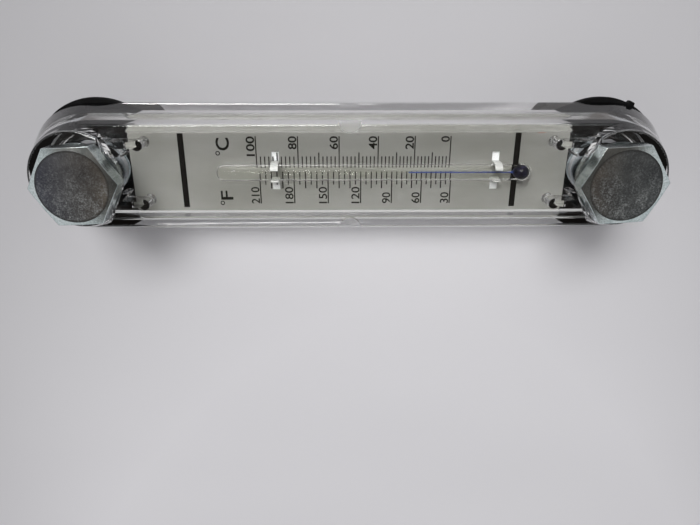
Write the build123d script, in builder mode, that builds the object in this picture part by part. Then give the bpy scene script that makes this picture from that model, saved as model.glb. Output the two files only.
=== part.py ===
from build123d import *
import math
import os

os.makedirs("parts", exist_ok=True)

# ---------------------------------------------------------------------------
# Tank level gauge, 127 mm between screw centres, with a thermometer.
#
# Frame: origin midway between the two screws, on the plane of the tank wall
# (the rear faces of the two sealing gaskets).  +Z points out of the wall,
# +X runs down the gauge from the upper screw to the lower one, +Y to the side.
# ---------------------------------------------------------------------------

# overall
SCREW_PITCH = 127.0        # between the two hollow screws
XS = SCREW_PITCH / 2       # screw axis distance from the origin
GASKET_T = 2.0             # rear gasket thickness
BODY_R = 16.55             # end radius and half width at the rear plane
END_SHIFT = 2.0            # the round ends are centred this far outboard of the screws
BODY_REAR = GASKET_T       # rear plane of the housing
BODY_FRONT = 12.6          # flat front face of the window
PAD_TOP = 15.4             # raised pads under the screw heads
SIDE_SLOPE = 0.37          # the sides lean in by this much per mm of height
FRONT_EDGE = 0.8           # rounding of the front edge
PAD_EDGE = 0.7             # rounding of the pad edge

# raised pads
PAD_NOSE_R = 8.2           # inboard nose of the pad
PAD_FLANK_X = 3.4          # where the pad's flanks start
PAD_FLANK_Y = 11.8

# cavity of the housing
CAVITY_R = 10.45           # half width and end radius
CEILING = 9.8              # inside of the front wall
COVER_R = 12.35            # rear cover sits in a rebate of this outline
REBATE_D = 2.0             # depth of that rebate
REBATE_TOP = BODY_REAR + REBATE_D
BOND = 0.05                # bond line round the cover and under the wall
COVER_T = REBATE_D - BOND  # rear cover thickness
COVER_TOP = BODY_REAR + COVER_T

# rings, ribs and pegs moulded inside the housing
BORE_R = 6.3               # clearance hole for the screw
RING_IN_R = 7.6            # oil space round the screw
RING_OUT_R = 9.0
RIB_Y = 7.4                # ribs either side of the oil passage
RIB_T = 1.6
PEG_X = 51.8               # locating pegs for the scale plate
PEG_R = 1.35
PEG_HOLE_R = 1.45
NOTCH_R = 2.7              # half round gate recesses at mid length
NOTCH_Y = 13.2
NOTCH_DEPTH = 1.5

# scale plate
PLATE_X = 55.6
PLATE_Y = 11.9
PLATE_T = 0.5
PLATE_CORNER = 3.1
PLATE_Z = COVER_TOP
PLATE_GAP = 0.1            # plate to the sides of its pocket
PLATE_TOP = PLATE_Z + PLATE_T
POCKET_TOP = PLATE_TOP + BOND
TAB_W = 1.9                # tongues bent up out of the plate
TAB_XL = -18.95
TAB_XR = 37.3
TAB_GAP = 0.05             # tongue to glass

# thermometer
TUBE_R = 2.05
TUBE_Z = PLATE_TOP + TUBE_R + 0.25
TUBE_X0 = -33.6
BULB_X = 43.6
BULB_R = 2.25
BULB_WALL = 0.15
BORE_THREAD_R = 0.22
SPIRIT_X0 = 14.9           # end of the spirit thread, about 24 degrees C

# screws
HEAD_AF = 18.0
HEAD_H = 4.7
HEAD_TOP = 22.6
HEAD_BASE = HEAD_TOP - HEAD_H
SHANK_R = 6.0              # M12 thread
PLAIN_R = 5.43             # plain part of the shank above it, rolled thread blank size
THREAD_TOP = -1.2
SHANK_LEN = 30.0
TIP_Z = HEAD_BASE - SHANK_LEN
OIL_BORE_R = 2.75
CROSS_R = 2.0
HEX_TURN_L = 2.4           # how far each head is turned, degrees
HEX_TURN_R = 3.3
CROWN_R = 8.35             # flat disc on the crown of the head
CROWN_ANGLE = 12.0         # turned chamfer round that disc

# washers and seals
WASHER_R = 9.3
WASHER_T = 1.0
SEAL_R = 8.8               # flat ring seal between washer and pad
SEAL_T = HEAD_BASE - WASHER_T - PAD_TOP
GASKET_R = 16.8
GASKET_HOLE_R = 7.2        # loose on the screw
GASKET_Y = 1.05            # so it has slipped this far to one side
GASKET_X = 0.4             # and this far outboard


# --- housing: clear front shell, open at the back --------------------------
TAPER = math.degrees(math.atan(SIDE_SLOPE))
PAD_R = BODY_R - SIDE_SLOPE * (PAD_TOP - BODY_REAR)

# where a flank of the pad runs off the round nose
flank_d = math.hypot(PAD_FLANK_X, PAD_FLANK_Y)
flank_a = math.atan2(PAD_FLANK_Y, PAD_FLANK_X) - math.acos(PAD_NOSE_R / flank_d)
NOSE_X = PAD_NOSE_R * math.cos(flank_a)
NOSE_Y = PAD_NOSE_R * math.sin(flank_a)
# and where it would reach well outside the housing
FAR_Y = 24.0
FAR_X = NOSE_X + (FAR_Y - NOSE_Y) * (PAD_FLANK_X - NOSE_X) / (PAD_FLANK_Y - NOSE_Y)

# raised pad at each end: a cone cut back to a nose on the inboard side
pads = []
for s in (-1, 1):
    with BuildPart() as pad:
        with Locations((s * (XS + END_SHIFT), 0, (BODY_REAR + PAD_TOP) / 2)):
            Cone(BODY_R, PAD_R, PAD_TOP - BODY_REAR)
        with BuildSketch(Plane.XY.offset(BODY_REAR)):
            with BuildLine():
                Line((s * (XS + 20), -FAR_Y), (s * (XS - FAR_X), -FAR_Y))
                Line((s * (XS - FAR_X), -FAR_Y), (s * (XS - NOSE_X), -NOSE_Y))
                ThreePointArc((s * (XS - NOSE_X), -NOSE_Y), (s * (XS - PAD_NOSE_R), 0), (s * (XS - NOSE_X), NOSE_Y))
                Line((s * (XS - NOSE_X), NOSE_Y), (s * (XS - FAR_X), FAR_Y))
                Line((s * (XS - FAR_X), FAR_Y), (s * (XS + 20), FAR_Y))
                Line((s * (XS + 20), FAR_Y), (s * (XS + 20), -FAR_Y))
            make_face()
        extrude(amount=PAD_TOP - BODY_REAR, mode=Mode.INTERSECT)
        fillet(pad.faces().sort_by(Axis.Z)[-1].edges(), PAD_EDGE)
    pads.append(pad.part)

with BuildPart() as housing:
    with BuildSketch(Plane.XY.offset(BODY_REAR)):
        SlotCenterToCenter(SCREW_PITCH + 2 * END_SHIFT, 2 * BODY_R)
    extrude(amount=BODY_FRONT - BODY_REAR, taper=TAPER)
    fillet(housing.faces().sort_by(Axis.Z)[-1].edges(), FRONT_EDGE)
    for pad in pads:
        add(pad)
    # cavity
    with BuildSketch(Plane.XY.offset(BODY_REAR)):
        SlotCenterToCenter(SCREW_PITCH, 2 * CAVITY_R)
    extrude(amount=CEILING - BODY_REAR, mode=Mode.SUBTRACT)
    # pocket for the scale plate, rebate for the rear cover
    with BuildSketch(Plane.XY.offset(BODY_REAR)):
        RectangleRounded(2 * (PLATE_X + PLATE_GAP), 2 * (PLATE_Y + PLATE_GAP), PLATE_CORNER)
    extrude(amount=POCKET_TOP - BODY_REAR, mode=Mode.SUBTRACT)
    with BuildSketch(Plane.XY.offset(BODY_REAR)):
        SlotCenterToCenter(SCREW_PITCH, 2 * COVER_R)
    extrude(amount=REBATE_D, mode=Mode.SUBTRACT)
    # rings round the screws, ribs beside the oil passages, pegs through the plate
    for s in (-1, 1):
        with BuildSketch(Plane.XY.offset(REBATE_TOP)):
            with Locations((s * XS, 0)):
                Circle(RING_OUT_R)
            for t in (-1, 1):
                with Locations((s * (PLATE_X + 0.4 + XS) / 2, t * RIB_Y)):
                    Rectangle(XS - PLATE_X - 0.4, RIB_T)
        extrude(amount=CEILING - REBATE_TOP + 0.5)
        with BuildSketch(Plane.XY.offset(POCKET_TOP)):
            for t in (-1, 1):
                with Locations((s * (PEG_X + PLATE_X + 1) / 2, t * RIB_Y)):
                    Rectangle(PLATE_X + 1 - PEG_X, RIB_T)
        extrude(amount=CEILING - POCKET_TOP + 0.5)
        with BuildSketch(Plane.XY.offset(REBATE_TOP)):
            with Locations((s * PEG_X, RIB_Y), (s * PEG_X, -RIB_Y)):
                Circle(PEG_R)
        extrude(amount=CEILING - REBATE_TOP + 0.5)
        with BuildSketch(Plane.XY.offset(REBATE_TOP)):
            with Locations((s * XS, 0)):
                Circle(RING_IN_R)
            with Locations((s * (XS - 5), 0)):
                Rectangle(10, 2 * 4.6)
        extrude(amount=CEILING - REBATE_TOP, mode=Mode.SUBTRACT)
    # gate recesses at mid length
    with BuildSketch(Plane.XY.offset(BODY_FRONT - NOTCH_DEPTH)):
        with Locations((0, NOTCH_Y), (0, -NOTCH_Y)):
            Circle(NOTCH_R)
    extrude(amount=NOTCH_DEPTH + 1, mode=Mode.SUBTRACT)
    # screw holes
    with BuildSketch(Plane.XY):
        with Locations((-XS, 0), (XS, 0)):
            Circle(BORE_R)
    extrude(amount=PAD_TOP + 1, mode=Mode.SUBTRACT)
housing.part.label = "housing"
export_step(housing.part, "parts/housing.step")

# --- rear cover: clear flat plate bonded into the rebate -------------------
with BuildPart() as rear_cover:
    with BuildSketch(Plane.XY.offset(BODY_REAR)):
        SlotCenterToCenter(SCREW_PITCH, 2 * (COVER_R - BOND))
        with Locations((-XS, 0), (XS, 0)):
            Circle(BORE_R, mode=Mode.SUBTRACT)
    extrude(amount=COVER_T)
rear_cover.part.label = "rear_cover"
export_step(rear_cover.part, "parts/rear_cover.step")

# --- scale plate: lacquered aluminium with four tongues over the tube ------
# each tongue stands out of the edge of its own window and leans over the tube
r_in = TUBE_R + TAB_GAP
r_out = r_in + 0.4
with BuildPart() as scale_plate:
    with BuildSketch(Plane.XY.offset(PLATE_Z)):
        RectangleRounded(2 * PLATE_X, 2 * PLATE_Y, PLATE_CORNER)
        for x in (TAB_XL, TAB_XR):
            with Locations((x, 3.55), (x, -3.55)):
                Rectangle(TAB_W, 2.6, mode=Mode.SUBTRACT)
        with GridLocations(2 * PEG_X, 2 * RIB_Y, 2, 2):
            Circle(PEG_HOLE_R, mode=Mode.SUBTRACT)
    extrude(amount=PLATE_T)
    for x in (TAB_XL, TAB_XR):
        # section of one pair of tongues, seen along X
        with BuildSketch(Plane.YZ.offset(x - TAB_W / 2)):
            for s in (-1, 1):
                a_end = math.radians(68 if s > 0 else 25)
                with BuildLine():
                    p0 = (s * r_in, PLATE_Z)
                    p1 = (s * r_in, TUBE_Z)
                    p2 = (s * r_in * math.cos(a_end), TUBE_Z + r_in * math.sin(a_end))
                    p3 = (s * r_out * math.cos(a_end), TUBE_Z + r_out * math.sin(a_end))
                    p4 = (s * r_out, TUBE_Z)
                    p5 = (s * r_out, PLATE_Z)
                    m1 = (s * r_in * math.cos(a_end / 2), TUBE_Z + r_in * math.sin(a_end / 2))
                    m2 = (s * r_out * math.cos(a_end / 2), TUBE_Z + r_out * math.sin(a_end / 2))
                    Line(p0, p1)
                    ThreePointArc(p1, m1, p2)
                    Line(p2, p3)
                    ThreePointArc(p3, m2, p4)
                    Line(p4, p5)
                    Line(p5, p0)
                make_face()
        extrude(amount=TAB_W)
scale_plate.part.label = "scale_plate"
export_step(scale_plate.part, "parts/scale_plate.step")

# --- thermometer: glass tube with a bulb, and the spirit inside it ---------
with BuildPart() as thermometer_spirit:
    with BuildSketch(Plane.XZ):
        with BuildLine():
            Line((SPIRIT_X0, TUBE_Z), (BULB_X + BULB_R - BULB_WALL, TUBE_Z))
            ThreePointArc(
                (BULB_X + BULB_R - BULB_WALL, TUBE_Z),
                (BULB_X, TUBE_Z + BULB_R - BULB_WALL),
                (BULB_X - math.sqrt((BULB_R - BULB_WALL) ** 2 - BORE_THREAD_R ** 2), TUBE_Z + BORE_THREAD_R),
            )
            Line((BULB_X - math.sqrt((BULB_R - BULB_WALL) ** 2 - BORE_THREAD_R ** 2), TUBE_Z + BORE_THREAD_R),
                 (SPIRIT_X0, TUBE_Z + BORE_THREAD_R))
            Line((SPIRIT_X0, TUBE_Z + BORE_THREAD_R), (SPIRIT_X0, TUBE_Z))
        make_face()
    revolve(axis=Axis((0, 0, TUBE_Z), (1, 0, 0)), revolution_arc=360)
thermometer_spirit.part.label = "thermometer_spirit"
export_step(thermometer_spirit.part, "parts/thermometer_spirit.step")

with BuildPart() as thermometer_tube:
    with BuildSketch(Plane.XZ):
        with BuildLine():
            xb = BULB_X - math.sqrt(BULB_R ** 2 - TUBE_R ** 2)
            Line((TUBE_X0, TUBE_Z), (BULB_X + BULB_R, TUBE_Z))
            ThreePointArc((BULB_X + BULB_R, TUBE_Z), (BULB_X + 0.3, TUBE_Z + math.sqrt(BULB_R ** 2 - 0.09)), (xb, TUBE_Z + TUBE_R))
            Line((xb, TUBE_Z + TUBE_R), (TUBE_X0 + TUBE_R, TUBE_Z + TUBE_R))
            ThreePointArc((TUBE_X0 + TUBE_R, TUBE_Z + TUBE_R),
                          (TUBE_X0 + TUBE_R * (1 - math.sqrt(0.5)), TUBE_Z + TUBE_R * math.sqrt(0.5)),
                          (TUBE_X0, TUBE_Z))
        make_face()
    revolve(axis=Axis((0, 0, TUBE_Z), (1, 0, 0)), revolution_arc=360)
    # capillary and bulb cavity, empty above the spirit
    with BuildSketch(Plane.XZ):
        with BuildLine():
            x_out = BULB_X - math.sqrt((BULB_R - BULB_WALL) ** 2 - BORE_THREAD_R ** 2)
            Line((TUBE_X0 + 3.0, TUBE_Z), (BULB_X + BULB_R - BULB_WALL, TUBE_Z))
            ThreePointArc(
                (BULB_X + BULB_R - BULB_WALL, TUBE_Z),
                (BULB_X, TUBE_Z + BULB_R - BULB_WALL),
                (x_out, TUBE_Z + BORE_THREAD_R),
            )
            Line((x_out, TUBE_Z + BORE_THREAD_R), (TUBE_X0 + 3.0, TUBE_Z + BORE_THREAD_R))
            Line((TUBE_X0 + 3.0, TUBE_Z + BORE_THREAD_R), (TUBE_X0 + 3.0, TUBE_Z))
        make_face()
    revolve(axis=Axis((0, 0, TUBE_Z), (1, 0, 0)), revolution_arc=360, mode=Mode.SUBTRACT)
thermometer_tube.part.label = "thermometer_tube"
export_step(thermometer_tube.part, "parts/thermometer_tube.step")

# --- hollow hex screws ------------------------------------------------------
for name, xs, turn in (("upper_screw", -XS, HEX_TURN_L), ("lower_screw", XS, HEX_TURN_R)):
    with BuildPart() as screw:
        with BuildSketch(Plane.XY.offset(HEAD_BASE)):
            with Locations((xs, 0)):
                RegularPolygon(HEAD_AF / 2, 6, major_radius=False, rotation=turn)
        extrude(amount=HEAD_H)
        # shallow turned chamfer on the crown of the head
        with BuildSketch(Plane.XZ):
            with BuildLine():
                c = CROWN_R
                Polyline(
                    (xs + c, HEAD_TOP + 0.01),
                    (xs + 12.0, HEAD_TOP + 0.01),
                    (xs + 12.0, HEAD_TOP - (12.0 - c) * math.tan(math.radians(CROWN_ANGLE))),
                    (xs + c, HEAD_TOP + 0.01),
                )
            make_face()
        revolve(axis=Axis((xs, 0, 0), (0, 0, 1)), revolution_arc=360, mode=Mode.SUBTRACT)
        with BuildSketch(Plane.XY.offset(THREAD_TOP)):
            with Locations((xs, 0)):
                Circle(PLAIN_R)
        extrude(amount=HEAD_BASE - THREAD_TOP)
        with BuildSketch(Plane.XY.offset(TIP_Z)):
            with Locations((xs, 0)):
                Circle(SHANK_R)
        extrude(amount=THREAD_TOP - TIP_Z)
        chamfer(screw.faces().sort_by(Axis.Z)[0].edges(), 0.9)
        # oil way: blind hole up the middle and a cross hole into the chamber
        with BuildSketch(Plane.XY.offset(TIP_Z)):
            with Locations((xs, 0)):
                Circle(OIL_BORE_R)
        extrude(amount=(CEILING - 0.6) - TIP_Z, mode=Mode.SUBTRACT)
        with BuildSketch(Plane.YZ.offset(xs - 8)):
            with Locations((0, (COVER_TOP + CEILING) / 2)):
                Circle(CROSS_R)
        extrude(amount=16, mode=Mode.SUBTRACT)
    screw.part.label = name
    export_step(screw.part, "parts/" + name + ".step")

# --- washers under the heads, flat ring seals under the washers -------------
for name, xs in (("upper_washer", -XS), ("lower_washer", XS)):
    with BuildPart() as washer:
        with BuildSketch(Plane.XY.offset(HEAD_BASE - WASHER_T)):
            with Locations((xs, 0)):
                Circle(WASHER_R)
                Circle(SHANK_R + 0.2, mode=Mode.SUBTRACT)
        extrude(amount=WASHER_T)
        chamfer(washer.edges().filter_by(GeomType.CIRCLE).sort_by(Axis.Z)[-1:], 0.15)
    washer.part.label = name
    export_step(washer.part, "parts/" + name + ".step")

for name, xs in (("upper_head_seal", -XS), ("lower_head_seal", XS)):
    with BuildPart() as seal:
        with BuildSketch(Plane.XY.offset(PAD_TOP)):
            with Locations((xs, 0)):
                Circle(SEAL_R)
                Circle(SHANK_R - 0.1, mode=Mode.SUBTRACT)
        extrude(amount=SEAL_T)
        fillet(seal.edges().filter_by(GeomType.CIRCLE).filter_by(lambda e: e.radius > SEAL_R - 0.1), 0.5)
    seal.part.label = name
    export_step(seal.part, "parts/" + name + ".step")

# --- rear gaskets: loose on the screws --------------------------------------
for name, xc in (("upper_gasket", -XS - GASKET_X), ("lower_gasket", XS + GASKET_X)):
    with BuildPart() as gasket:
        with BuildSketch(Plane.XY):
            with Locations((xc, GASKET_Y)):
                Circle(GASKET_R)
            if name == "lower_gasket":
                # moulding flash left on the rim
                a = math.radians(63)
                with Locations((xc + (GASKET_R + 0.2) * math.cos(a), GASKET_Y + (GASKET_R + 0.2) * math.sin(a))):
                    Rectangle(1.2, 1.6, rotation=-27)
            with Locations((xc, GASKET_Y)):
                Circle(GASKET_HOLE_R, mode=Mode.SUBTRACT)
        extrude(amount=GASKET_T)
    gasket.part.label = name
    export_step(gasket.part, "parts/" + name + ".step")
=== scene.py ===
import math
import random

import bmesh
import bpy
import numpy as np
from mathutils import Matrix, Vector, noise


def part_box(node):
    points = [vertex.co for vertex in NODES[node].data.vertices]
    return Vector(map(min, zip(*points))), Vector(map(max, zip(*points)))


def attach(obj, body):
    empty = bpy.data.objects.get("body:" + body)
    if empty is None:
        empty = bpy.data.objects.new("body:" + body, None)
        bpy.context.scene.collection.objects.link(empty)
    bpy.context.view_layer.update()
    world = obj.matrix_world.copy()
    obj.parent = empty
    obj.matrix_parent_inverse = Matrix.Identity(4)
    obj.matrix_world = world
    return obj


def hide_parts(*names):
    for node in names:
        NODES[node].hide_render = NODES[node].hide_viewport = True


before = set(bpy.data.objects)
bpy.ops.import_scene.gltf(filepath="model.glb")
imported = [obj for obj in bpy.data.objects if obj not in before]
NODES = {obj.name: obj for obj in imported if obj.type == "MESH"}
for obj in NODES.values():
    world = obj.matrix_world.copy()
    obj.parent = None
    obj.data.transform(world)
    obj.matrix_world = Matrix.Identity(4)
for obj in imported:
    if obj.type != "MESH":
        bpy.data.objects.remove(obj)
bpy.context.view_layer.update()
MM = 0.001

# where things are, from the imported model
lo_u, hi_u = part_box("upper_screw")
lo_l, hi_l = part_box("lower_screw")
XS = (hi_l.x + lo_l.x) / 2 / MM
HEAD_TOP = hi_u.z / MM
TIP_Z = lo_u.z / MM
lo_p, hi_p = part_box("scale_plate")
PLATE_Z = lo_p.z / MM
PLATE_TOP = PLATE_Z + 0.5

# ------------------------------------------------------------------ helpers


def rng(seed):
    return random.Random(seed)


def new_object(name, verts, faces, mats=(), indices=None, smooth=True, sharp=35.0):
    """A mesh object from points in millimetres, with outward normals."""
    me = bpy.data.meshes.new(name)
    me.from_pydata([(x * MM, y * MM, z * MM) for x, y, z in verts], [], faces)
    for m in mats:
        me.materials.append(m)
    if indices is not None:
        me.polygons.foreach_set("material_index", indices)
    me.polygons.foreach_set("use_smooth", [smooth] * len(me.polygons))
    me.update()
    if smooth and sharp:
        me.set_sharp_from_angle(angle=math.radians(sharp))
    o = bpy.data.objects.new(name, me)
    bpy.context.scene.collection.objects.link(o)
    return o


def ring_lathe(name, profile, cx, cy, seg, mats, radius=None, axis="Z", **k):
    """Turns a closed section (r, z), listed anticlockwise, round a line parallel to Z."""
    verts, faces = [], []
    n = len(profile)
    for i in range(seg):
        a = 2 * math.pi * i / seg
        for r, z in profile:
            rr = radius(r, z, a) if radius else r
            verts.append((cx + rr * math.cos(a), cy + rr * math.sin(a), z))
    for i in range(seg):
        j = (i + 1) % seg
        for p in range(n):
            q = (p + 1) % n
            faces.append((i * n + p, j * n + p, j * n + q, i * n + q))
    return new_object(name, verts, faces, mats, **k)


def rounded_section(r0, r1, z0, z1, e, steps=4):
    """Anticlockwise rectangle in (r, z) with rounded corners of radius e."""
    pts = []
    for cx, cz, a0 in ((r1 - e, z0 + e, -90), (r1 - e, z1 - e, 0), (r0 + e, z1 - e, 90), (r0 + e, z0 + e, 180)):
        for i in range(steps + 1):
            a = math.radians(a0 + 90 * i / steps)
            pts.append((cx + e * math.cos(a), cz + e * math.sin(a)))
    return pts


def spin_x(profile, y, z, seg, inward=False):
    """Points and faces of a closed surface turned round a line along X; profile is (x, r) from pole to pole."""
    verts, faces = [], []
    rows = []
    for x, r in profile:
        if r <= 1e-9:
            rows.append([len(verts)])
            verts.append((x, y, z))
        else:
            rows.append(list(range(len(verts), len(verts) + seg)))
            for i in range(seg):
                a = 2 * math.pi * i / seg
                verts.append((x, y + r * math.cos(a), z + r * math.sin(a)))
    for a, b in zip(rows, rows[1:]):
        for i in range(seg):
            j = (i + 1) % seg
            if len(a) == 1:
                f = (a[0], b[j], b[i])
            elif len(b) == 1:
                f = (a[i], a[j], b[0])
            else:
                f = (a[i], a[j], b[j], b[i])
            faces.append(f if inward else tuple(reversed(f)))
    return verts, faces


class Tree:
    """Small helper for building a material's nodes."""

    def __init__(self, name):
        self.mat = bpy.data.materials.new(name)
        self.mat.use_nodes = True
        self.nt = self.mat.node_tree
        self.bsdf = self.nt.nodes["Principled BSDF"]
        self.out = self.nt.nodes["Material Output"]
        self._coord = None

    def node(self, kind, **props):
        n = self.nt.nodes.new(kind)
        for k, v in props.items():
            setattr(n, k, v)
        return n

    def link(self, a, b):
        self.nt.links.new(a, b)

    def coord(self):
        if self._coord is None:
            self._coord = self.node("ShaderNodeTexCoord").outputs["Object"]
        return self._coord

    def mapped(self, loc=(0, 0, 0), rot=(0, 0, 0), scale=(1, 1, 1), kind="POINT"):
        m = self.node("ShaderNodeMapping")
        m.vector_type = kind
        m.inputs["Location"].default_value = loc
        m.inputs["Rotation"].default_value = rot
        m.inputs["Scale"].default_value = scale
        self.link(self.coord(), m.inputs["Vector"])
        return m.outputs["Vector"]

    def noise(self, vector, scale, detail=4.0, rough=0.5, distortion=0.0):
        n = self.node("ShaderNodeTexNoise")
        n.inputs["Scale"].default_value = scale
        n.inputs["Detail"].default_value = detail
        n.inputs["Roughness"].default_value = rough
        n.inputs["Distortion"].default_value = distortion
        self.link(vector, n.inputs["Vector"])
        return n.outputs["Fac"]

    def voronoi(self, vector, scale, feature="F1", out="Distance"):
        n = self.node("ShaderNodeTexVoronoi", feature=feature)
        n.inputs["Scale"].default_value = scale
        self.link(vector, n.inputs["Vector"])
        return n.outputs[out]

    def ramp(self, fac, stops, mode="LINEAR"):
        r = self.node("ShaderNodeValToRGB")
        r.color_ramp.interpolation = mode
        e = r.color_ramp.elements
        while len(e) > 1:
            e.remove(e[-1])
        e[0].position = stops[0][0]
        e[0].color = colour(stops[0][1])
        for p, c in stops[1:]:
            x = e.new(p)
            x.color = colour(c)
        self.link(fac, r.inputs["Fac"])
        return r.outputs["Color"]

    def math(self, op, a, b=None, clamp=False):
        m = self.node("ShaderNodeMath", operation=op, use_clamp=clamp)
        for i, v in enumerate((a, b)):
            if v is None:
                continue
            if isinstance(v, (int, float)):
                m.inputs[i].default_value = v
            else:
                self.link(v, m.inputs[i])
        return m.outputs[0]

    def mix(self, fac, a, b, blend="MIX"):
        m = self.node("ShaderNodeMix", data_type="RGBA", blend_type=blend)
        if isinstance(fac, (int, float)):
            m.inputs[0].default_value = fac
        else:
            self.link(fac, m.inputs[0])
        for i, v in ((6, a), (7, b)):
            if isinstance(v, (tuple, list)):
                m.inputs[i].default_value = colour(v)
            else:
                self.link(v, m.inputs[i])
        return m.outputs[2]

    def bump(self, height, strength, distance):
        b = self.node("ShaderNodeBump")
        b.inputs["Strength"].default_value = strength
        b.inputs["Distance"].default_value = distance
        self.link(height, b.inputs["Height"])
        return b.outputs["Normal"]

    def set(self, **k):
        for name, v in k.items():
            s = self.bsdf.inputs[name.replace("_", " ")]
            if isinstance(v, (int, float)):
                s.default_value = v
            elif isinstance(v, (tuple, list)):
                s.default_value = colour(v)
            else:
                self.link(v, s)
        return self


def colour(c):
    if isinstance(c, (int, float)):
        return (c, c, c, 1)
    return tuple(c) + (1,) if len(c) == 3 else tuple(c)


# ---------------------------------------------------------------- materials


def let_lamps_through(t, tint):
    """Clear pieces throw almost no shadow, as real ones do on pale paper."""
    lp = t.node("ShaderNodeLightPath")
    tr = t.node("ShaderNodeBsdfTransparent")
    tr.inputs[0].default_value = colour(tint)
    mx = t.node("ShaderNodeMixShader")
    t.link(lp.outputs["Is Shadow Ray"], mx.inputs[0])
    t.link(t.bsdf.outputs[0], mx.inputs[1])
    t.link(tr.outputs[0], mx.inputs[2])
    t.link(mx.outputs[0], t.out.inputs["Surface"])


def make_clear_plastic():
    t = Tree("clear_plastic_moulded")
    t.set(Base_Color=(0.985, 0.985, 0.985), Roughness=0.0, IOR=1.57)
    t.bsdf.inputs["Transmission Weight"].default_value = 1.0
    # flow lines along the moulding, a faint waviness and a few fine scratches
    flow = t.noise(t.mapped(scale=(60, 420, 420)), 1.0, 3.0, 0.55, 0.4)
    wide = t.noise(t.mapped(scale=(90, 90, 90)), 1.0, 1.0)
    h = t.math("ADD", t.math("MULTIPLY", flow, 0.5), t.math("MULTIPLY", wide, 0.8))
    t.set(Normal=t.bump(h, 0.035, 0.00012))
    # the broken gates at mid length are rough inside
    sep = t.node("ShaderNodeSeparateXYZ")
    t.link(t.coord(), sep.inputs[0])
    x = t.math("MULTIPLY", sep.outputs["X"], 1000.0)
    y = t.math("SUBTRACT", t.math("ABSOLUTE", t.math("MULTIPLY", sep.outputs["Y"], 1000.0)), 13.2)
    d = t.math("SQRT", t.math("ADD", t.math("MULTIPLY", x, x), t.math("MULTIPLY", y, y)))
    near = t.ramp(t.math("DIVIDE", d, 4.0), [(0.655, 1.0), (0.685, 0.0)])
    below = t.ramp(t.math("MULTIPLY", sep.outputs["Z"], 60.0), [(0.744, 1.0), (0.750, 0.0)])
    above = t.ramp(t.math("MULTIPLY", sep.outputs["Z"], 60.0), [(0.655, 0.0), (0.660, 1.0)])
    torn = t.noise(t.mapped(scale=(1400, 1400, 1400)), 1.0, 3.0, 0.6)
    gate = t.math("MULTIPLY", t.math("MULTIPLY", near, below), above)
    t.set(Roughness=t.math("MULTIPLY", gate, t.math("ADD", t.math("MULTIPLY", torn, 0.5), 0.15)))
    let_lamps_through(t, 0.955)
    return t.mat


def make_cover_film():
    t = Tree("rear_cover_clear")
    t.set(Base_Color=(0.96, 0.97, 0.97), Roughness=t.math("ADD", t.math("MULTIPLY", t.noise(t.mapped(scale=(300, 300, 300)), 1.0), 0.08), 0.02))
    t.set(Normal=t.bump(t.noise(t.mapped(scale=(120, 300, 300)), 1.0, 3.0), 0.15, 0.0001))
    tr = t.node("ShaderNodeBsdfTransparent")
    tr.inputs[0].default_value = colour(0.975)
    lw = t.node("ShaderNodeLayerWeight")
    lw.inputs["Blend"].default_value = 0.12
    f = t.math("MULTIPLY", lw.outputs["Fresnel"], 0.5)
    mx = t.node("ShaderNodeMixShader")
    t.link(f, mx.inputs[0])
    t.link(tr.outputs[0], mx.inputs[1])
    t.link(t.bsdf.outputs[0], mx.inputs[2])
    # white diffuse patches behind the plate's windows: painted light, standing in for the lit paper seen through the
    # windows
    sep = t.node("ShaderNodeSeparateXYZ")
    t.link(t.coord(), sep.inputs[0])
    mx_x = t.math("ABSOLUTE", t.math("SUBTRACT", t.math("ABSOLUTE", t.math("SUBTRACT", sep.outputs["X"], 0.009175)), 0.028125))
    patch = t.math("MULTIPLY", t.math("LESS_THAN", mx_x, 0.0018), t.math("LESS_THAN", t.math("ABSOLUTE", sep.outputs["Y"]), 0.0062))
    painted_light_patch = t.node("ShaderNodeBsdfDiffuse")
    grain = t.noise(t.mapped(scale=(2500, 2500, 2500)), 1.0, 3.0)
    t.link(t.ramp(grain, [(0.3, (0.80, 0.82, 0.82)), (0.7, (0.90, 0.91, 0.91))]), painted_light_patch.inputs["Color"])
    m2 = t.node("ShaderNodeMixShader")
    t.link(t.math("MULTIPLY", patch, 0.9), m2.inputs[0])
    t.link(mx.outputs[0], m2.inputs[1])
    t.link(painted_light_patch.outputs[0], m2.inputs[2])
    t.link(m2.outputs[0], t.out.inputs["Surface"])
    return t.mat


def make_glass():
    t = Tree("thermometer_glass")
    t.set(Base_Color=(0.985, 0.99, 0.955), Roughness=0.0, IOR=1.14)
    t.bsdf.inputs["Transmission Weight"].default_value = 1.0
    t.set(Normal=t.bump(t.noise(t.mapped(scale=(40, 300, 300)), 1.0, 2.0), 0.03, 0.0001))
    let_lamps_through(t, 0.97)
    return t.mat


def make_spirit():
    t = Tree("blue_spirit")
    n = t.noise(t.mapped(scale=(900, 900, 900)), 1.0, 3.0)
    deep = t.ramp(n, [(0.35, (0.0012, 0.0010, 0.004)), (0.7, (0.004, 0.004, 0.014))])
    thin = t.ramp(n, [(0.35, (0.012, 0.030, 0.14)), (0.7, (0.03, 0.06, 0.24))])
    sep = t.node("ShaderNodeSeparateXYZ")
    t.link(t.coord(), sep.inputs[0])
    t.set(Base_Color=t.mix(t.ramp(t.math("MULTIPLY", sep.outputs["X"], 20.0), [(0.815, 0.0), (0.835, 1.0)]), thin, deep), Roughness=0.3, IOR=1.36)
    t.bsdf.inputs["Specular IOR Level"].default_value = 0.25
    return t.mat


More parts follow.
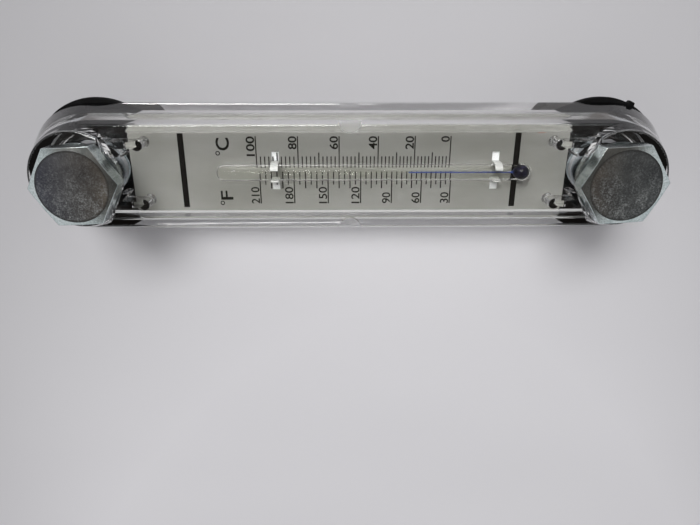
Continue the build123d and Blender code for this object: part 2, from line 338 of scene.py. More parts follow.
def make_plate():
    t = Tree("lacquered_aluminium")
    # rolled grain along the plate, cloudy lacquer, darker specks
    grain = t.noise(t.mapped(scale=(260, 5200, 2600)), 1.0, 3.0, 0.6)
    cloud = t.noise(t.mapped(loc=(0.3, 0.1, 0), scale=(55, 90, 60)), 1.0, 3.0, 0.55)
    speck = t.noise(t.mapped(scale=(2600, 2600, 2600)), 1.0, 2.0)
    base = t.ramp(cloud, [(0.3, (0.174, 0.175, 0.157)), (0.5, (0.199, 0.200, 0.183)), (0.72, (0.219, 0.220, 0.206))])
    base = t.mix(t.math("MULTIPLY", t.math("SUBTRACT", grain, 0.45), 0.5, clamp=True), base, (0.29, 0.29, 0.27))
    base = t.mix(t.ramp(speck, [(0.66, 0.0), (0.78, 0.5)]), base, (0.15, 0.15, 0.135))
    geo = t.node("ShaderNodeNewGeometry")
    sep = t.node("ShaderNodeSeparateXYZ")
    t.link(geo.outputs["Normal"], sep.inputs[0])
    flat = t.math("ABSOLUTE", sep.outputs["Z"])
    edge = t.ramp(flat, [(0.80, 1.0), (0.97, 0.0)])
    base = t.mix(edge, base, (0.46, 0.47, 0.45))
    t.set(Base_Color=base, Roughness=t.math("ADD", t.math("MULTIPLY", grain, 0.18), 0.34))
    t.bsdf.inputs["Metallic"].default_value = 0.0
    t.bsdf.inputs["Coat Weight"].default_value = 0.15
    t.bsdf.inputs["Coat Roughness"].default_value = 0.25
    t.set(Normal=t.bump(grain, 0.15, 0.00002))
    return t.mat


def make_ink():
    t = Tree("scale_ink")
    n = t.noise(t.mapped(scale=(2500, 2500, 2500)), 1.0, 4.0, 0.6)
    t.set(Base_Color=t.ramp(n, [(0.3, (0.0015, 0.0015, 0.0015)), (0.75, (0.006, 0.006, 0.005))]),
          Roughness=t.math("ADD", t.math("MULTIPLY", n, 0.2), 0.4),
          Normal=t.bump(n, 0.2, 0.000004))
    t.bsdf.inputs["Specular IOR Level"].default_value = 0.02
    return t.mat


def make_mark():
    t = Tree("brown_mark")
    n = t.noise(t.mapped(scale=(3000, 3000, 3000)), 1.0, 3.0)
    t.set(Base_Color=t.ramp(n, [(0.35, (0.20, 0.07, 0.05)), (0.7, (0.30, 0.17, 0.13))]), Roughness=0.6)
    return t.mat


def make_rubber(name, seed):
    t = Tree(name)
    fine = t.noise(t.mapped(loc=(seed, 0, 0), scale=(1500, 1500, 1500)), 1.0, 4.0, 0.6)
    cloud = t.noise(t.mapped(loc=(seed, 1, 0), scale=(120, 120, 120)), 1.0, 2.0)
    base = t.ramp(cloud, [(0.35, (0.0022, 0.0022, 0.0024)), (0.7, (0.005, 0.005, 0.0053))])
    dust = t.ramp(fine, [(0.70, 0.0), (0.84, 0.25)])
    base = t.mix(dust, base, (0.02, 0.02, 0.019))
    t.bsdf.inputs["Specular IOR Level"].default_value = 0.07
    t.set(Base_Color=base, Roughness=t.math("ADD", t.math("MULTIPLY", fine, 0.25), 0.38),
          Normal=t.bump(fine, 0.35, 0.00004))
    return t.mat


def make_zinc(name, cx, seed, painted_shade=1.0):
    t = Tree(name)
    p = t.mapped(loc=(-cx * MM, 0, 0))
    # vertical drawing lines on the flats, mottled passivation, tiny pits
    lines = t.noise(t.mapped(loc=(seed, 0, 0), scale=(2200, 2200, 90)), 1.0, 3.0, 0.6)
    mott = t.noise(t.mapped(loc=(0, seed, 0), scale=(330, 330, 330)), 1.0, 4.0, 0.6)
    pits = t.noise(t.mapped(loc=(0, 0, seed), scale=(2400, 2400, 2400)), 1.0, 2.0, 0.5)
    base = t.ramp(mott, [(0.28, (0.48, 0.55, 0.56)), (0.5, (0.63, 0.70, 0.71)), (0.75, (0.78, 0.83, 0.84))])
    base = t.mix(t.ramp(lines, [(0.35, 0.45), (0.6, 0.0)]), base, (0.30, 0.35, 0.34))
    base = t.mix(t.ramp(pits, [(0.70, 0.0), (0.80, 0.6)]), base, (0.12, 0.12, 0.12))
    # painted brown reflection on the upper, inward side of the chamfer next to the crown
    sep = t.node("ShaderNodeSeparateXYZ")
    t.link(p, sep.inputs[0])
    side = 1 if cx < 0 else -1
    bx = t.math("MULTIPLY", sep.outputs["X"], side * 1000.0)
    by = t.math("MULTIPLY", sep.outputs["Y"], 1000.0)
    d1 = t.math("ADD", t.math("MULTIPLY", bx, 0.45), t.math("MULTIPLY", by, 0.9))
    painted_brown_reflection = t.math("MULTIPLY", t.ramp(t.math("DIVIDE", d1, 12.0), [(0.45, 0.0), (0.72, 1.0)]), t.ramp(mott, [(0.3, 0.25), (0.6, 0.9)]))
    zm = t.ramp(t.math("MULTIPLY", t.math("SUBTRACT", sep.outputs["Z"], (HEAD_TOP - 0.75) * MM), 1600.0), [(0.2, 0.0), (0.6, 1.0)])
    painted_brown_reflection = t.math("MULTIPLY", painted_brown_reflection, zm)
    base = t.mix(t.math("MULTIPLY", painted_brown_reflection, 0.45), base, (0.21, 0.165, 0.125))
    # a factor below 1 darkens the whole part as painted shade; the washers use it for the shadow under the heads
    base = t.mix(1.0, base, (painted_shade, painted_shade, painted_shade), "MULTIPLY")
    rough = t.math("ADD", t.math("MULTIPLY", mott, 0.18), 0.12)
    h = t.math("ADD", t.math("MULTIPLY", lines, 0.5), t.math("MULTIPLY", mott, 0.8))
    t.set(Base_Color=base, Roughness=rough, Normal=t.bump(h, 0.3, 0.00003))
    t.bsdf.inputs["Metallic"].default_value = 1.0
    return t.mat


def make_crown(name, cx, seed, reflection_tints):
    """The turned face of the head: a dark base with a warm and a cool tint across it, painted reflection of the dark
    surroundings overhead, and pale scuffs.
    """
    t = Tree(name)
    p = t.mapped(loc=(-cx * MM, 0, 0))
    sep = t.node("ShaderNodeSeparateXYZ")
    t.link(p, sep.inputs[0])
    x = t.math("MULTIPLY", sep.outputs["X"], 1000.0)
    y = t.math("MULTIPLY", sep.outputs["Y"], 1000.0)
    r = t.math("SQRT", t.math("ADD", t.math("MULTIPLY", x, x), t.math("MULTIPLY", y, y)))
    ang = t.math("ARCTAN2", y, x)
    comb = t.node("ShaderNodeCombineXYZ")
    t.link(t.math("MULTIPLY", ang, 7.0), comb.inputs[0])
    t.link(t.math("MULTIPLY", r, 0.35), comb.inputs[1])
    comb.inputs[2].default_value = seed
    rays = t.noise(comb.outputs[0], 4.0, 5.0, 0.65)
    scuff = t.noise(t.mapped(loc=(seed, 0, 0), scale=(2600, 2600, 2600)), 1.0, 4.0, 0.72)
    patch = t.noise(t.mapped(loc=(0, seed, 0), scale=(190, 190, 190)), 1.0, 3.0, 0.6)
    # dark base colour: painted reflection of the dark surroundings overhead
    dark = t.ramp(patch, [(0.25, (0.050, 0.050, 0.053)), (0.5, (0.085, 0.085, 0.087)), (0.8, (0.14, 0.14, 0.138))])
    # tint from one side of the face to the other: painted reflection colour, cool on one side and warm on the other
    tint = t.ramp(t.math("ADD", t.math("DIVIDE", x, 17.0), 0.5), [(0.05, reflection_tints[0]), (0.45, reflection_tints[1]), (0.9, reflection_tints[2])])
    base = t.mix(1.0, dark, tint, "MULTIPLY")
    low = t.ramp(t.math("ADD", t.math("DIVIDE", y, -17.0), 0.5), [(0.25, 0.25), (0.75, 1.0)])
    cloud = t.noise(t.mapped(loc=(seed, seed, 0), rot=(0, 0, 0.5), scale=(620, 330, 400)), 1.0, 4.0, 0.7, 0.8)
    grit = t.math("MULTIPLY", t.ramp(scuff, [(0.44, 0.0), (0.66, 1.0)]), low)
    grit = t.math("MULTIPLY", grit, t.ramp(cloud, [(0.40, 0.10), (0.62, 1.0)]))
    base = t.mix(grit, base, (0.38, 0.40, 0.40))
    base = t.mix(t.math("MULTIPLY", t.ramp(rays, [(0.52, 0.0), (0.72, 0.8)]), 0.3), base, (0.36, 0.37, 0.38))
    rim = t.ramp(t.math("DIVIDE", r, 8.35), [(0.93, 0.0), (0.985, 0.75)])
    base = t.mix(rim, base, (0.03, 0.03, 0.028))
    h = t.math("ADD", t.math("MULTIPLY", scuff, 0.7), t.math("MULTIPLY", rays, 0.5))
    t.set(Base_Color=base, Roughness=t.math("ADD", t.math("MULTIPLY", scuff, 0.35), 0.28), Normal=t.bump(h, 0.5, 0.00005))
    t.bsdf.inputs["Metallic"].default_value = 0.75
    return t.mat


plastic = make_clear_plastic()
cover_film = make_cover_film()
glass = make_glass()
spirit_mat = make_spirit()
plate_mat = make_plate()
ink = make_ink()
mark = make_mark()
zinc_u = make_zinc("zinc_upper", -XS, 3.1)
zinc_l = make_zinc("zinc_lower", XS, 7.7)
# the washers are darkened to 0.30: painted shade under the heads
washer_u = make_zinc("washer_zinc_upper", -XS, 1.9, 0.30)
washer_l = make_zinc("washer_zinc_lower", XS, 6.3, 0.30)
# the last argument gives the painted reflection tints across each crown face
crown_u = make_crown("crown_upper", -XS, 2.3, ((0.74, 0.78, 1.0), (0.98, 0.96, 0.97), (1.1, 0.95, 0.78)))
crown_l = make_crown("crown_lower", XS, 5.9, ((1.0, 0.86, 0.72), (0.78, 0.80, 0.78), (0.80, 0.86, 0.87)))
rubber_gasket = make_rubber("gasket_rubber", 0.4)
rubber_seal = make_rubber("seal_rubber", 2.4)

NODES["housing"].material_slots[0].material = plastic
NODES["rear_cover"].material_slots[0].material = cover_film
NODES["scale_plate"].material_slots[0].material = plate_mat

# ------------------------------------------------------------ scale printing


class Print:
    """Ink as very thin closed prisms lying on the plate."""

    def __init__(self, z0, z1):
        self.v, self.f, self.z0, self.z1 = [], [], z0, z1

    def loop(self, pts):
        if sum(a[0] * b[1] - b[0] * a[1] for a, b in zip(pts, pts[1:] + pts[:1])) < 0:
            pts = pts[::-1]
        n, s = len(pts), len(self.v)
        self.v += [(x, y, self.z0) for x, y in pts] + [(x, y, self.z1) for x, y in pts]
        self.f.append(tuple(range(s + n - 1, s - 1, -1)))
        self.f.append(tuple(range(s + n, s + 2 * n)))
        for i in range(n):
            j = (i + 1) % n
            self.f.append((s + i, s + j, s + n + j, s + n + i))

    def rect(self, x0, y0, x1, y1):
        e = min(0.03, abs(x1 - x0) * 0.2)
        self.loop([(x0 + e, y0), (x1 - e, y0), (x1, y0 + e), (x1, y1 - e), (x1 - e, y1), (x0 + e, y1), (x0, y1 - e), (x0, y0 + e)])

    def add_mesh(self, me, place):
        """Adds a flat closed text mesh; place maps its points to the plate."""
        s = len(self.v)
        for vert in me.vertices:
            x, y = place(vert.co.x, vert.co.y)
            self.v.append((x, y, self.z1 if vert.co.z > 0 else self.z0))
        for p in me.polygons:
            self.f.append(tuple(s + i for i in p.vertices))


def text_mesh(body, weight=0.0):
    c = bpy.data.curves.new("t", "FONT")
    c.body = body
    c.size = 1.0
    c.offset = weight
    c.extrude = 0.01
    c.resolution_u = 4
    c.align_x = "LEFT"
    o = bpy.data.objects.new("t", c)
    bpy.context.scene.collection.objects.link(o)
    dg = bpy.context.evaluated_depsgraph_get()
    me = bpy.data.meshes.new_from_object(o.evaluated_get(dg))
    bpy.data.objects.remove(o)
    bpy.data.curves.remove(c)
    return me


def put_text(pr, body, x_base, y_start, height, width=None, align="left", weight=0.0):
    """Text turned a quarter left: its line runs along +Y and its tops point to -X."""
    me = text_mesh(body, weight)
    xs = [v.co.x for v in me.vertices]
    ys = [v.co.y for v in me.vertices]
    x0, x1, y1 = min(xs), max(xs), max(ys)
    sy = height / y1
    sx = width / (x1 - x0) if width else sy
    run = (x1 - x0) * sx
    start = y_start if align == "left" else y_start - run
    pr.add_mesh(me, lambda x, y: (x_base - y * sy, start + (x - x0) * sx))
    bpy.data.meshes.remove(me)
    return run


def interp(table, t):
    ts = sorted(table)
    xs = [table[k] for k in ts]
    # smooth curve through the marked values
    return float(np.interp(t, ts, xs)) if len(ts) < 4 else float(np.polyval(np.polyfit(ts, xs, 4), t))


PX = 0.9918  # print positions were read a little further from the camera than the plate's face
C_MARKS = {100: -23.96, 80: -13.25, 60: -2.77, 40: 7.31, 20: 16.62, 0: 25.74}
F_MARKS = {210: -23.33, 180: -14.51, 150: -5.65, 120: 2.88, 90: 10.92, 60: 18.73, 30: 26.30}
pr = Print(PLATE_TOP - 0.01, PLATE_TOP + 0.015)
for s in (-1, 1):
    pr.rect(s * 42.55 - 0.75, -9.55, s * 42.55 + 0.75, 9.55)
for c in range(0, 101, 2):
    x = interp(C_MARKS, c) * PX
    if c % 20 == 0:
        pr.rect(x - 0.15, 1.25, x + 0.15, 8.75)
    elif c % 10 == 0:
        pr.rect(x - 0.155, 1.25, x + 0.155, 4.65)
    else:
        pr.rect(x - 0.15, 1.25, x + 0.15, 3.65)
for f in range(30, 211, 5):
    x = interp(F_MARKS, f) * PX
    if f % 30 == 0:
        pr.rect(x - 0.15, -8.65, x + 0.15, -0.2)
    elif f % 10 == 0:
        pr.rect(x - 0.155, -4.65, x + 0.155, -0.2)
    else:
        pr.rect(x - 0.15, -3.65, x + 0.15, -0.2)
for c in (100, 80, 60, 40, 20, 0):
    put_text(pr, str(c), interp(C_MARKS, c) * PX - 0.35, 8.75, 2.1, {100: 5.0, 0: 1.5}.get(c, 3.3), "right", 0.018)
for f in (210, 180, 150, 120, 90, 60, 30):
    put_text(pr, str(f), interp(F_MARKS, f) * PX - 0.35, -8.65, 2.1, 4.4 if f > 99 else 2.9, "left", 0.010)
put_text(pr, "C", -30.5, 5.2, 3.3, 3.2, "left", 0.018)
put_text(pr, "F", -30.4, -7.6, 3.1, 2.4, "left", 0.012)


def degree_ring(cx, cy, r0, r1, n=28):
    s = len(pr.v)
    for z in (pr.z0, pr.z1):
        for r in (r0, r1):
            for i in range(n):
                a = 2 * math.pi * i / n
                pr.v.append((cx + r * math.cos(a), cy + r * math.sin(a), z))
    for i in range(n):
        j = (i + 1) % n
        b0, b1, t0, t1 = s, s + n, s + 2 * n, s + 3 * n
        pr.f += [(t0 + i, t1 + i, t1 + j, t0 + j), (b0 + j, b1 + j, b1 + i, b0 + i),
                 (b1 + i, b1 + j, t1 + j, t1 + i), (b0 + j, b0 + i, t0 + i, t0 + j)]


degree_ring(-33.45, 4.5, 0.34, 0.58)
degree_ring(-33.2, -8.45, 0.34, 0.58)
scale_print = new_object("scale_print", pr.v, pr.f, [ink], smooth=False)
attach(scale_print, "root")

mk = Print(PLATE_TOP - 0.01, PLATE_TOP + 0.012)
mk.loop([(47.2, 9.55), (47.9, 9.42), (48.9, 9.46), (49.5, 9.58), (48.9, 9.70), (47.9, 9.72)])
plate_mark = new_object("plate_mark", mk.v, mk.f, [mark], smooth=False)
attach(plate_mark, "root")

# --------------------------------------------------------------- thermometer
lo_t, hi_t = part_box("thermometer_tube")
T_X0 = lo_t.x / MM
TUBE_R, BULB_R, BULB_X, BORE_R = 2.05, 2.25, 43.6, 0.17
TUBE_Z = PLATE_TOP + TUBE_R + 0.25
SPIRIT_X0 = 14.9

prof = []
for i in range(0, 11):
    a = math.pi / 2 * i / 10
    prof.append((T_X0 + TUBE_R * (1 - math.cos(a)) * 0.8, TUBE_R * math.sin(a)))
xb = BULB_X - math.sqrt(BULB_R ** 2 - TUBE_R ** 2)
for i in range(1, 40):
    prof.append((prof[10][0] + (xb - 1.2 - prof[10][0]) * i / 40, TUBE_R))
for i in range(0, 7):
    t = i / 6
    prof.append((xb - 1.2 + 1.2 * t, TUBE_R - 0.10 * math.sin(math.pi * t)))
a0 = math.atan2(TUBE_R, xb - BULB_X)
for i in range(1, 25):
    a = a0 * (1 - i / 24)
    prof.append((BULB_X + BULB_R * math.cos(a), max(0.0, BULB_R * math.sin(a))))
prof[0] = (prof[0][0], 0.0)
prof[-1] = (prof[-1][0], 0.0)
v1, f1 = spin_x(prof, 0, TUBE_Z, 72)
# empty capillary above the spirit
cap = [(T_X0 + 3.0, 0.0), (T_X0 + 3.05, BORE_R)]
cap += [(T_X0 + 3.05 + (SPIRIT_X0 - 0.02 - T_X0 - 3.05) * i / 24, BORE_R) for i in range(1, 25)]
cap += [(SPIRIT_X0 + 0.01, 0.0)]
v2, f2 = spin_x(cap, 0, TUBE_Z, 24, inward=True)
tube = new_object("thermometer_stem", v1 + v2, f1 + [tuple(len(v1) + i for i in f) for f in f2], [glass], sharp=60)
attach(tube, "root")
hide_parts("thermometer_tube")

rb = BULB_R - 0.16
sp = [(SPIRIT_X0 - 0.03, 0.0), (SPIRIT_X0 + 0.05, BORE_R + 0.005)]
x_in = BULB_X - math.sqrt(rb ** 2 - 0.5 ** 2)
sp += [(SPIRIT_X0 + 0.05 + (x_in - 1.6 - SPIRIT_X0 - 0.05) * i / 24, BORE_R + 0.005) for i in range(1, 25)]
for i in range(1, 7):
    t = i / 6
    sp.append((x_in - 1.6 + 1.6 * t, BORE_R + 0.005 + (0.5 - BORE_R - 0.005) * t ** 3))
a1 = math.atan2(0.5, x_in - BULB_X)
for i in range(1, 29):
    a = a1 * (1 - i / 28)
    sp.append((BULB_X + rb * math.cos(a), max(0.0, rb * math.sin(a))))
sp[-1] = (sp[-1][0], 0.0)
v3, f3 = spin_x(sp, 0, TUBE_Z, 48)
spirit = new_object("spirit_thread", v3, f3, [spirit_mat], sharp=60)
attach(spirit, "root")
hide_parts("thermometer_spirit")

# ------------------------------------------------------------------- screws
HEAD_AF, HEAD_H, CROWN_R, SHANK_R, PITCH, DEPTH = 18.0, 4.7, 8.35, 6.0, 1.75, 1.02
HEAD_BASE = HEAD_TOP - HEAD_H
SEAT = 0.0


def hex_outline(turn, rho=0.22, per_edge=14, per_corner=5):
    """Hexagon 18 mm across flats with slightly rounded corners, anticlockwise."""
    apo = HEAD_AF / 2
    out = []
    for k in range(6):
        ca = math.radians(turn + 60 * k)
        d = (apo - rho) / math.cos(math.radians(30))
        cx, cy = d * math.cos(ca), d * math.sin(ca)
        for i in range(per_corner + 1):
            a = ca + math.radians(-30 + 60 * i / per_corner)
            out.append((cx + rho * math.cos(a), cy + rho * math.sin(a)))
        nxt = math.radians(turn + 60 * (k + 1))
        nx = d * math.cos(nxt) + rho * math.cos(nxt - math.radians(30))
        ny = d * math.sin(nxt) + rho * math.sin(nxt - math.radians(30))
        lx, ly = out[-1]
        for i in range(1, per_edge):
            out.append((lx + (nx - lx) * i / per_edge, ly + (ny - ly) * i / per_edge))
    return out


def build_screw(name, node, xs, turn, zinc, crown, seed, nick):
    rand = rng(seed)
    ring = hex_outline(turn)
    n = len(ring)
    slope = math.tan(math.radians(12))
    verts, faces, idx = [], [], []

    def add_ring(points):
        s = len(verts)
        verts.extend(points)
        return list(range(s, s + n))

    def join(a, b, m):
        for i in range(n):
            j = (i + 1) % n
            faces.append((a[i], b[i], b[j], a[j]))
            idx.append(m)

    units = [(x / math.hypot(x, y), y / math.hypot(x, y)) for x, y in ring]
    centre = len(verts)
    verts.append((xs, 0, HEAD_TOP - 0.0))
    rows = []
    dents = [(rand.uniform(1, 7.6), rand.uniform(0, 2 * math.pi), rand.uniform(0.25, 0.6), rand.uniform(0.012, 0.035)) for _ in range(16)]

    def face_z(x, y):
        z = HEAD_TOP - 0.004
        for dr, da, w, d in dents:
            q = math.hypot(x - dr * math.cos(da), y - dr * math.sin(da)) / w
            if q < 3:
                z -= d * math.exp(-q * q)
        return z - 0.01 * abs(noise.noise(Vector((x * 0.6 + seed, y * 0.6, seed))))

    for r in [0.5 * k for k in range(1, 17)] + [8.22]:
        rows.append((add_ring([(xs + r * ux, r * uy, face_z(r * ux, r * uy)) for ux, uy in units]), 1))
    rows.append((add_ring([(xs + CROWN_R * ux, CROWN_R * uy, HEAD_TOP - 0.03) for ux, uy in units]), 1))

    def chamfer_z(r):
        return HEAD_TOP - 0.03 - (r - CROWN_R) * slope

    # chamfer out to just inside the flats, then the rolled edge, then the side
    for t in (0.06, 0.35, 0.7, 0.93):
        pts = []
        for (x, y), (ux, uy) in zip(ring, units):
            R = math.hypot(x, y) - 0.10
            r = CROWN_R + (R - CROWN_R) * t
            pts.append((xs + r * ux, r * uy, chamfer_z(r)))
        rows.append((add_ring(pts), 0))
    for inset, drop in ((0.10, 0.0), (0.04, 0.022), (0.008, 0.07), (0.0, 0.14), (0.0, 0.3)):
        pts = []
        for (x, y), (ux, uy) in zip(ring, units):
            R = math.hypot(x, y)
            r = R - inset
            pts.append((xs + r * ux, r * uy, chamfer_z(R - 0.10) - drop))
        rows.append((add_ring(pts), 0))
    for z in (HEAD_BASE + 1.8, HEAD_BASE + 0.35, HEAD_BASE + 0.14):
        rows.append((add_ring([(xs + x, y, z) for x, y in ring]), 0))
    for inset, z in ((0.02, HEAD_BASE + 0.05), (0.09, HEAD_BASE + 0.0), (0.4, HEAD_BASE)):
        rows.append((add_ring([(xs + x - inset * ux, y - inset * uy, z) for (x, y), (ux, uy) in zip(ring, units)]), 0))
    plain = 5.43
    rows.append((add_ring([(xs + (plain + 0.5) * ux, (plain + 0.5) * uy, HEAD_BASE) for ux, uy in units]), 0))
    for i in range(0, 4):
        a = math.pi / 2 * i / 3
        r = plain + 0.25 - 0.25 * math.sin(a)
        z = HEAD_BASE - 0.25 + 0.25 * math.cos(a)
        rows.append((add_ring([(xs + r * ux, r * uy, z) for ux, uy in units]), 0))
    # plain shank, then the rolled thread down to the tip
    top_thread = -1.2
    for z in (HEAD_BASE - 2.5, 12.5, 10.0, 7.0, 4.2, 1.5, top_thread + 0.3):
        rows.append((add_ring([(xs + plain * ux, plain * uy, z) for ux, uy in units]), 0))
    z = top_thread
    dz = PITCH / 14
    while z > TIP_Z + 0.02:
        pts = []
        for ux, uy in units:
            a = math.atan2(uy, ux)
            ph = ((z / PITCH) - a / (2 * math.pi)) % 1.0
            tri = 1 - abs(2 * ph - 1)
            prof_ = min(1.0, max(0.0, (tri - 0.10) / 0.72))
            run_in = min(1.0, max(0.0, (top_thread - z) / 1.6))
            r = plain + (SHANK_R - 0.02 - plain) * min(1.0, (top_thread - z) / 0.4) - DEPTH * prof_ * run_in
            r = min(r, SHANK_R - 0.02, SHANK_R - 0.9 + (z - TIP_Z) * 1.0)
            pts.append((xs + r * ux, r * uy, z))
        rows.append((add_ring(pts), 0))
        z -= dz
    rows.append((add_ring([(xs + (SHANK_R - 0.95) * ux, (SHANK_R - 0.95) * uy, TIP_Z) for ux, uy in units]), 0))
    for r, z in ((3.15, TIP_Z), (3.0, TIP_Z + 0.06), (2.75, TIP_Z + 0.4), (2.75, -6.0), (2.75, 0.0), (2.75, 4.2), (2.75, 6.9), (2.75, 9.0), (2.6, 9.35), (1.2, 10.1)):
        rows.append((add_ring([(xs + r * ux, r * uy, z) for ux, uy in units]), 0))
    first, m0 = rows[0]
    for i in range(n):
        faces.append((centre, first[i], first[(i + 1) % n]))
        idx.append(1)
    for (a, _), (b, m) in zip(rows, rows[1:]):
        join(a, b, m)
    end = len(verts)
    verts.append((xs, 0, 10.4))
    last = rows[-1][0]
    for i in range(n):
        faces.append((last[i], end, last[(i + 1) % n]))
        idx.append(0)
    o = new_object(name, verts, faces, [zinc, crown], idx, sharp=50)
    # cross hole from the oil way into the gauge
    cyl = []
    cf = []
    seg = 40
    for x in (-8.0, 8.0):
        for i in range(seg):
            a = 2 * math.pi * i / seg
            cyl.append((xs + x, 2.0 * math.cos(a), 6.875 + 2.0 * math.sin(a)))
    cf.append(tuple(range(seg)))
    cf.append(tuple(range(2 * seg - 1, seg - 1, -1)))
    for i in range(seg):
        j = (i + 1) % seg
        cf.append((i, seg + i, seg + j, j))
    cutter = new_object("cutter", cyl, cf, smooth=False)
    for c in (cutter,):
        bm = bmesh.new()
        bm.from_mesh(c.data)
        bmesh.ops.recalc_face_normals(bm, faces=bm.faces)
        bm.to_mesh(c.data)
        bm.free()
    bo = o.modifiers.new("cross_hole", "BOOLEAN")
    bo.operation = "DIFFERENCE"
    bo.object = cutter
    bo.solver = "EXACT"
    dg = bpy.context.evaluated_depsgraph_get()
    me = bpy.data.meshes.new_from_object(o.evaluated_get(dg))
    o.modifiers.clear()
    o.data = me
    bpy.data.objects.remove(cutter)
    me.polygons.foreach_set("use_smooth", [True] * len(me.polygons))
    me.set_sharp_from_angle(angle=math.radians(50))
    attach(o, "root")
    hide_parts(node)
    return o


screw_u = build_screw("upper_hollow_screw", "upper_screw", -XS, 2.4, zinc_u, crown_u, 11, None)
screw_l = build_screw("lower_hollow_screw", "lower_screw", XS, 3.3, zinc_l, crown_l, 23, None)

# ------------------------------------------------ washers, seals and gaskets
for end, xs, zinc in (("upper", -XS, washer_u), ("lower", XS, washer_l)):
    lo_w, hi_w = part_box(end + "_washer")
    w = ring_lathe(end + "_flat_washer", rounded_section(6.2, (hi_w.x - lo_w.x) / 2 / MM, lo_w.z / MM, hi_w.z / MM, 0.14, 3), xs, 0, 160, [zinc], sharp=50)
    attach(w, "root")
    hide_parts(end + "_washer")
    lo_s, hi_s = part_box(end + "_head_seal")
    sl = ring_lathe(end + "_ring_seal", rounded_section(5.91, 8.8, lo_s.z / MM, hi_s.z / MM, 0.45, 5), xs, 0, 144, [rubber_seal],
                    radius=lambda r, z, a: r + (0.03 * noise.noise(Vector((2.2 * math.cos(a), 2.2 * math.sin(a), 0.3 + xs))) if r > 8 else 0), sharp=60)
    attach(sl, "root")
    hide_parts(end + "_head_seal")

def gasket_radius(end):
    def f(r, z, a):
        if r < 12:
            return r
        r += 0.05 * noise.noise(Vector((3 * math.cos(a), 3 * math.sin(a), 1.7 if end == "upper" else 4.2))) - 0.03
        if end == "lower":
            d = math.degrees(abs((a - math.radians(63) + math.pi) % (2 * math.pi) - math.pi)) * math.pi / 180 * 16.8
            if d < 0.62:
                r += 0.72
            elif d < 0.85:
                r += 0.72 * (0.85 - d) / 0.23
        return r
    return f


for end, xs in (("upper", -XS), ("lower", XS)):
    lo_g, hi_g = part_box(end + "_gasket")
    gx, gy, gr = (hi_g.x + lo_g.x) / 2 / MM, (hi_g.y + lo_g.y) / 2 / MM, (hi_g.x - lo_g.x) / 2 / MM
    sec = rounded_section(7.2, gr, lo_g.z / MM, hi_g.z / MM, 0.22, 3)
    # thin parting line half way up the rim
    k = len(sec) // 4
    zc = (lo_g.z + hi_g.z) / 2 / MM
    sec = sec[:k] + [(gr, zc - 0.10), (gr + 0.06, zc - 0.04), (gr + 0.06, zc + 0.04), (gr, zc + 0.10)] + sec[k:]
    g = ring_lathe(end + "_wall_gasket", sec, gx, gy, 720 if end == "lower" else 240, [rubber_gasket], radius=gasket_radius(end), sharp=50)
    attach(g, "root")
    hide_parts(end + "_gasket")

# ------------------------------------------------------ floor, light, camera
FLOOR_Z = TIP_Z * MM - 0.00002
paper = Tree("paper")
fib = paper.noise(paper.mapped(scale=(900, 900, 900)), 1.0, 4.0, 0.6)
wave = paper.noise(paper.mapped(scale=(6, 14, 6)), 1.0, 2.0)
pb = paper.ramp(wave, [(0.3, (0.705, 0.698, 0.728)), (0.7, (0.737, 0.73, 0.760))])
# painted light fall-off: the sheet is painted darker towards the corners, most of all the upper left
psep = paper.node("ShaderNodeSeparateXYZ")
paper.link(paper.coord(), psep.inputs[0])
px, py = psep.outputs["X"], psep.outputs["Y"]
painted_falloff = paper.math("ADD", 0.90, paper.math("MULTIPLY", py, -2.0))
painted_falloff = paper.math("ADD", painted_falloff, paper.math("MULTIPLY", paper.math("MULTIPLY", px, px), -16.0))
painted_falloff = paper.math("ADD", painted_falloff, paper.math("MULTIPLY", paper.math("MULTIPLY", px, py), 0.5))
painted_falloff = paper.math("ADD", painted_falloff, paper.math("MULTIPLY", px, 0.62))
painted_falloff = paper.math("MAXIMUM", paper.math("MINIMUM", painted_falloff, 1.0), 0.5)
pb = paper.mix(1.0, pb, paper.ramp(painted_falloff, [(0.0, 0.0), (1.0, 1.0)]), "MULTIPLY")
paper.set(Base_Color=pb, Roughness=0.85, Normal=paper.bump(fib, 0.08, 0.00005))
nf = 24
S = 2.4
fv = [((i / nf * 2 - 1) * S / MM, (j / nf * 2 - 1) * S / MM, FLOOR_Z / MM) for j in range(nf + 1) for i in range(nf + 1)]
ff = [(j * (nf + 1) + i, j * (nf + 1) + i + 1, (j + 1) * (nf + 1) + i + 1, (j + 1) * (nf + 1) + i) for j in range(nf) for i in range(nf)]
floor = new_object("floor", fv, ff, [paper.mat], smooth=False)

world = bpy.data.worlds.new("studio")
bpy.context.scene.world = world
world.use_nodes = True
wt = world.node_tree
bg = wt.nodes["Background"]
tc = wt.nodes.new("ShaderNodeTexCoord")
sepw = wt.nodes.new("ShaderNodeSeparateXYZ")
wt.links.new(tc.outputs["Generated"], sepw.inputs[0])
wr = wt.nodes.new("ShaderNodeValToRGB")
e = wr.color_ramp.elements
e[0].position, e[0].color = 0.0, colour((0.36, 0.37, 0.40))
e[1].position, e[1].color = 0.22, colour((0.46, 0.47, 0.49))
for pos, c in ((0.42, (1.0, 1.01, 1.03)), (0.75, (1.05, 1.05, 1.05)), (0.805, (0.33, 0.32, 0.31)), (0.84, (0.115, 0.10, 0.09)), (1.0, (0.10, 0.085, 0.075))):
    q = e.new(pos)
    q.color = colour(c)
wt.links.new(sepw.outputs["Z"], wr.inputs["Fac"])
wt.links.new(wr.outputs["Color"], bg.inputs["Color"])
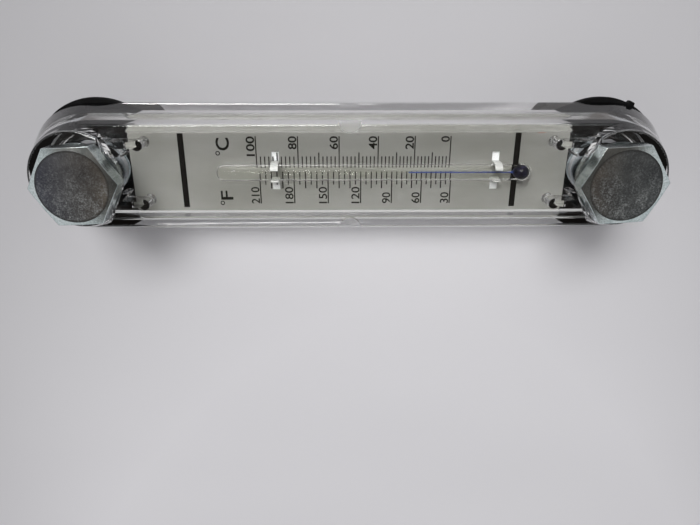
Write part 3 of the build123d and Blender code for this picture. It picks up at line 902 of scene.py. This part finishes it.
bg.inputs["Strength"].default_value = 0.65


def area(name, loc, target, size, size_y, power, col=(1, 1, 1)):
    l = bpy.data.lights.new(name, "AREA")
    l.shape = "RECTANGLE"
    l.size, l.size_y, l.energy, l.color = size, size_y, power, col
    o = bpy.data.objects.new(name, l)
    bpy.context.scene.collection.objects.link(o)
    o.location = loc
    o.rotation_euler = (Vector(target) - Vector(loc)).to_track_quat("-Z", "Y").to_euler()
    return o


area("key", (-0.20, 0.66, 0.95), (0, 0, 0), 0.55, 0.35, 9.0, (1.0, 0.995, 0.985))

cam_f, rx, ry, rz = 569.1664462971771, 0.37699075638315016, -0.012476433637167399, -0.004301106749086441
t_cam = np.array([0.15904218411672172, -17.53809314863012, 130.84324341983003])
Rx = np.array([[1, 0, 0], [0, math.cos(rx), -math.sin(rx)], [0, math.sin(rx), math.cos(rx)]])
Ry = np.array([[math.cos(ry), 0, math.sin(ry)], [0, 1, 0], [-math.sin(ry), 0, math.cos(ry)]])
Rz = np.array([[math.cos(rz), -math.sin(rz), 0], [math.sin(rz), math.cos(rz), 0], [0, 0, 1]])
A = Rz @ Ry @ Rx @ np.diag([1, -1, -1.0])
C = -A.T @ t_cam + np.array([0, 0, 22.0])
M = Matrix.Identity(4)
for j, col in enumerate((A.T @ [1, 0, 0], -A.T @ np.array([0, 1, 0]), -A.T @ np.array([0, 0, 1]))):
    for i in range(3):
        M[i][j] = float(col[i])
for i in range(3):
    M[i][3] = float(C[i]) * MM
cam_data = bpy.data.cameras.new("camera")
cam_data.sensor_width = 36.0
cam_data.lens = cam_f / 700 * 36
cam_data.clip_start = 0.005
cam_data.clip_end = 20.0
cam = bpy.data.objects.new("camera", cam_data)
bpy.context.scene.collection.objects.link(cam)
cam.matrix_world = M
bpy.context.scene.camera = cam

sc = bpy.context.scene
sc.view_settings.view_transform = "Standard"
sc.cycles.max_bounces = 48
sc.cycles.transmission_bounces = 48
sc.cycles.glossy_bounces = 32
sc.cycles.transparent_max_bounces = 48
sc.cycles.diffuse_bounces = 4
